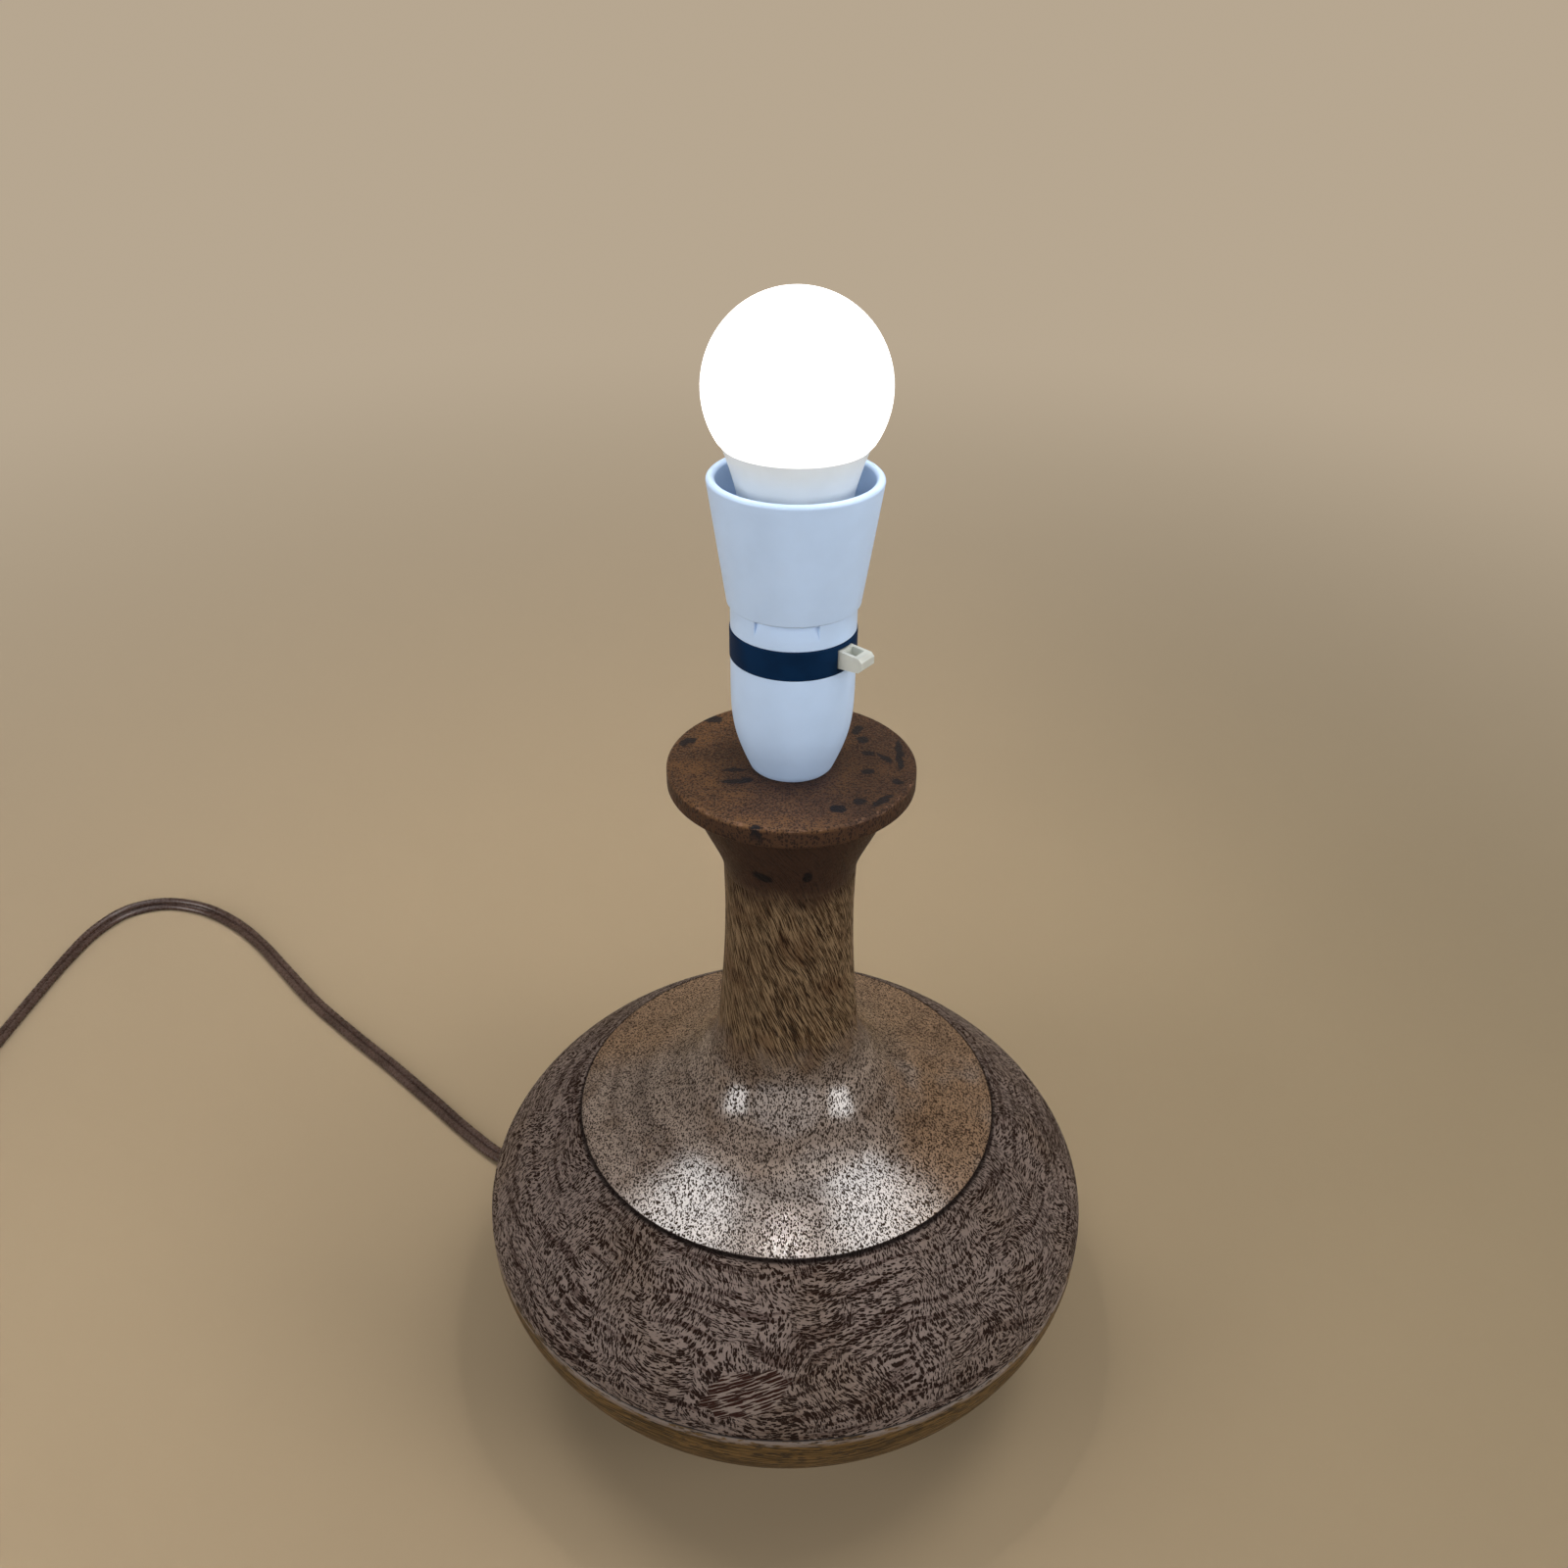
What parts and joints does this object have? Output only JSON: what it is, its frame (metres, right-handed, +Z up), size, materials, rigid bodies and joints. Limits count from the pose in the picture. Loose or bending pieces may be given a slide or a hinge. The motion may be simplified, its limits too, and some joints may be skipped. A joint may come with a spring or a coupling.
{
  "type": "table lamp",
  "caption": "Turned wooden table lamp: round-bellied base, waisted neck and flared cap under a white bayonet lampholder with a lit ball bulb, on a flat twin flex with a plug.",
  "frame": {"origin": "centre of the felt foot, on the table", "axes": "+Z up along the lamp's axis, -Y towards the side that the picture shows, +X to that view's right"},
  "size_m": [0.5226, 0.3142, 0.3396],
  "materials": {
    "felt": "matte green felt",
    "bowl_wood": "ochre wood, fine level grain, satin lacquer",
    "belly_wood": "mauve-brown figured wood with dark open pores",
    "neck_wood": "olive-brown flecked wood, satin lacquer",
    "cap_wood": "reddish-brown wood with ink-dark spots, worn edge",
    "bush_rubber": "dark brown rubber",
    "clamp_nylon": "natural nylon",
    "steel": "zinc-plated steel",
    "brass": "turned brass",
    "flex_brown": "glossy dark brown flex",
    "holder_white": "cool white, semi-gloss",
    "band_navy": "dark navy, semi-gloss",
    "core_brown": "brown insulation",
    "core_blue": "blue insulation",
    "switch_grey": "off-white plastic",
    "cap_metal": "nickel-plated cap",
    "cap_black": "black insulator",
    "solder": "bright solder",
    "housing_white": "smooth white",
    "light_board": "white solder mask",
    "driver_green": "green circuit board",
    "diffuser": "opal white, lit",
    "tie_black": "black strap",
    "plug_brown": "dark brown moulding",
    "fuse_ceramic": "glazed ceramic",
    "grip_fibre": "red fibre"
  },
  "bodies": {
    "lamp": {"felt_pad": "felt", "base_bowl": "bowl_wood", "belly": "belly_wood", "neck_and_shoulder": "neck_wood", "top_cap": "cap_wood", "cord_bush": "bush_rubber", "cord_clamp": "clamp_nylon", "clamp_screw_left": "steel", "clamp_screw_right": "steel", "flex_internal": "flex_brown", "entry_nipple": "brass", "lock_nut": "brass", "holder_barrel": "holder_white", "terminal_block": "band_navy", "wire_core_live": "core_brown", "wire_core_neutral": "core_blue", "terminal_live": "brass", "terminal_neutral": "brass", "terminal_screw_live": "brass", "terminal_screw_neutral": "brass", "plunger_spring_live": "steel", "plunger_spring_neutral": "steel", "socket_sleeve": "holder_white", "flex_free": "flex_brown", "flex_coil": "flex_brown", "coil_tie": "tie_black", "flex_tail": "flex_brown", "plug_cover": "plug_brown", "plug_base": "plug_brown", "plug_pin_live": "brass", "plug_pin_neutral": "brass", "plug_pin_earth": "brass", "plug_fuse": "fuse_ceramic", "plug_cover_screw": "steel", "plug_cord_grip": "grip_fibre", "plug_grip_screw_left": "steel", "plug_grip_screw_right": "steel"},
    "switch": {"switch_bar": "switch_grey", "switch_contact": "brass"},
    "skirt": {"heat_skirt": "holder_white"},
    "bulb": {"bulb_cap": "cap_metal", "bulb_pin_near": "brass", "bulb_pin_far": "brass", "cap_insulator": "cap_black", "cap_contact_live": "solder", "cap_contact_neutral": "solder", "bulb_housing": "housing_white", "led_board": "light_board", "driver_board": "driver_green", "bulb_diffuser": "diffuser"},
    "live_contact": {"plunger_live": "brass"},
    "neutral_contact": {"plunger_neutral": "brass"}
  },
  "joints": [
    {"name": "switch_push", "type": "slide", "parent": "lamp", "child": "switch", "axis": [0.8039, -0.5948, 0], "range_m": [-0.005, 0]},
    {"name": "skirt_turn", "type": "hinge", "parent": "lamp", "child": "skirt", "pos_m": [0, 0, 0.2638], "axis": [0, 0, 1], "range_deg": [0, 720]},
    {"name": "bulb_twist", "type": "hinge", "parent": "lamp", "child": "bulb", "pos_m": [0, 0, 0.2645], "axis": [0, 0, 1], "range_deg": [0, 20]},
    {"name": "live_press", "type": "slide", "parent": "lamp", "child": "live_contact", "axis": [0, 0, 1], "range_m": [-0.0015, 0], "stiffness_N_per_m": 400, "deforming": ["plunger_spring_live"]},
    {"name": "neutral_press", "type": "slide", "parent": "lamp", "child": "neutral_contact", "axis": [0, 0, 1], "range_m": [-0.0015, 0], "stiffness_N_per_m": 400, "deforming": ["plunger_spring_neutral"]}
  ]
}
